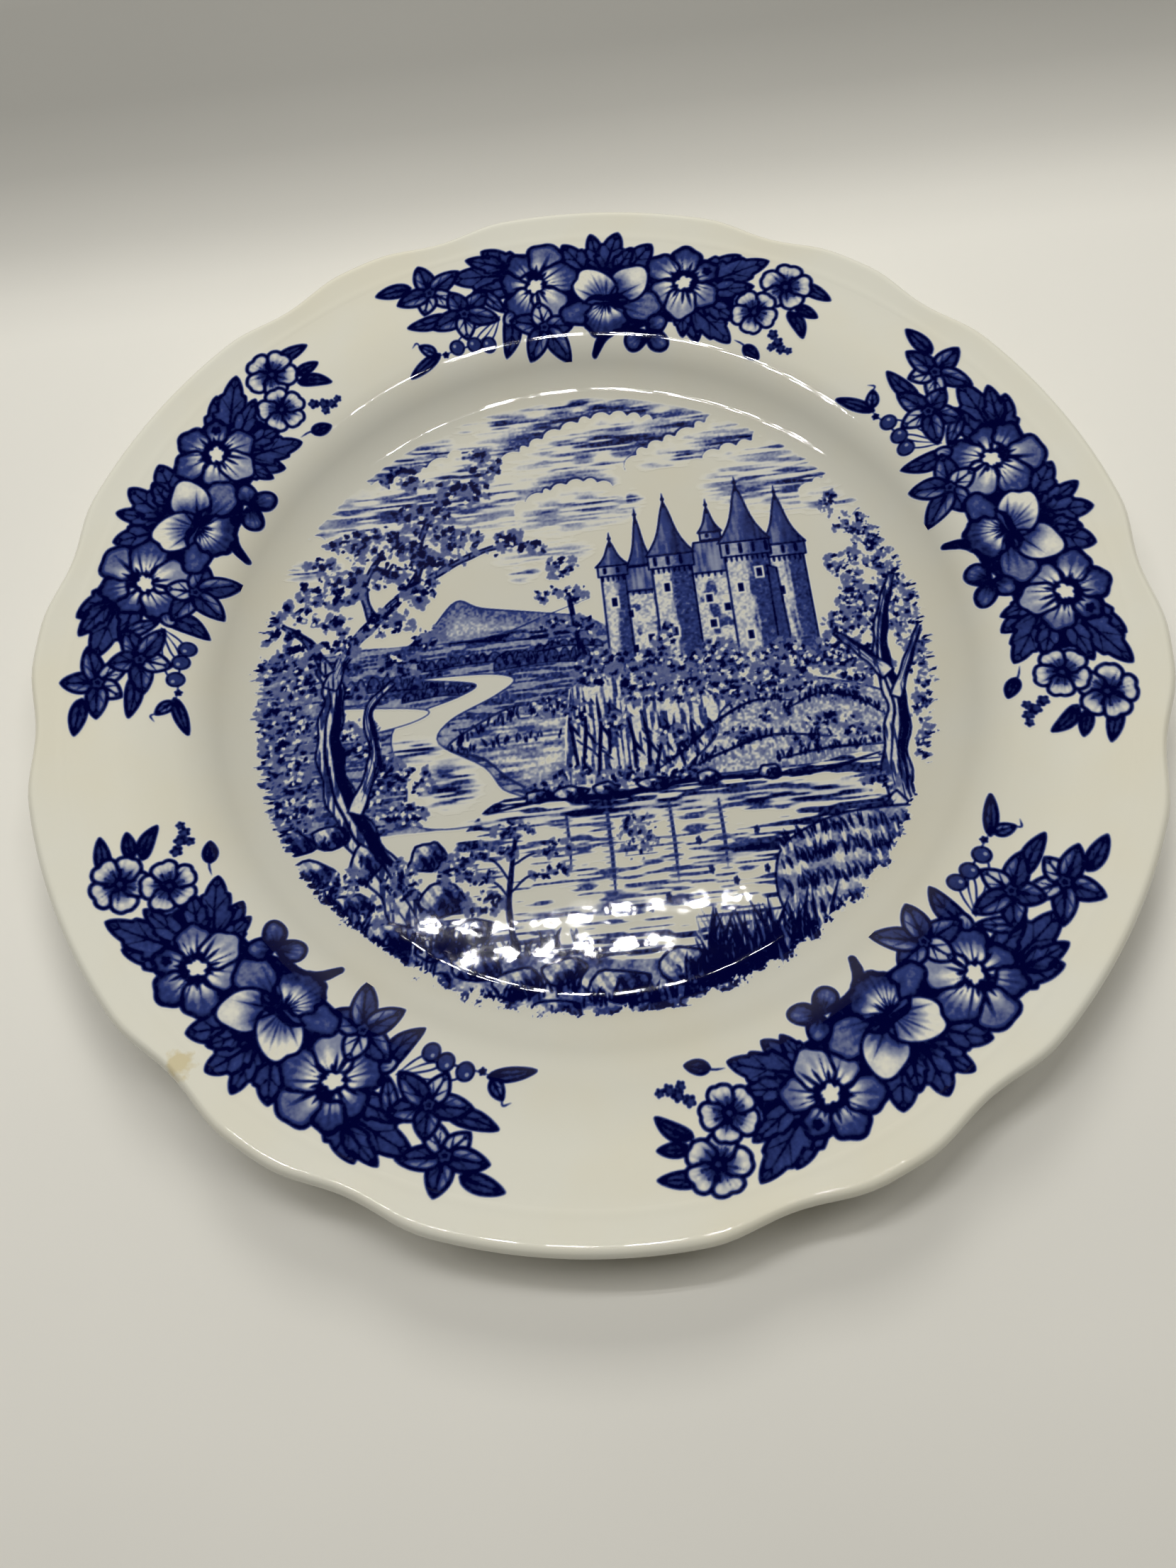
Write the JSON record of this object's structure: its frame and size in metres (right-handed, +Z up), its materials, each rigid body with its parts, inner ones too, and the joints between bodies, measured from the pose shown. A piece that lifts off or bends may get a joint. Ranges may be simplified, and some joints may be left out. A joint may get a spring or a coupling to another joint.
{
  "type": "dinner plate",
  "caption": "Round china dinner plate with a lobed rim, a broad flange, a shallow well and a low foot ring, printed in blue with flower sprays and a castle landscape.",
  "frame": {"origin": "on the plate's axis, on the plane that the foot ring stands on", "axes": "+Z up along the plate's axis; +Y is the top of the landscape; +X is to its right"},
  "size_m": [0.2524, 0.2538, 0.0215],
  "materials": {
    "bisque": "unglazed fired clay, matt and slightly gritty",
    "clear_glaze": "clear glossy glaze over an ivory body",
    "blue_print": "cobalt blue transfer print under the glaze, in dark outlines and paler tones"
  },
  "bodies": {
    "root": {"plate_body": "bisque", "outer_glaze_coat": "clear_glaze", "foot_recess_glaze_coat": "clear_glaze", "centre_print": "blue_print", "rim_spray_print_1": "blue_print", "rim_spray_print_2": "blue_print", "rim_spray_print_3": "blue_print", "rim_spray_print_4": "blue_print", "rim_spray_print_5": "blue_print"}
  },
  "joints": []
}
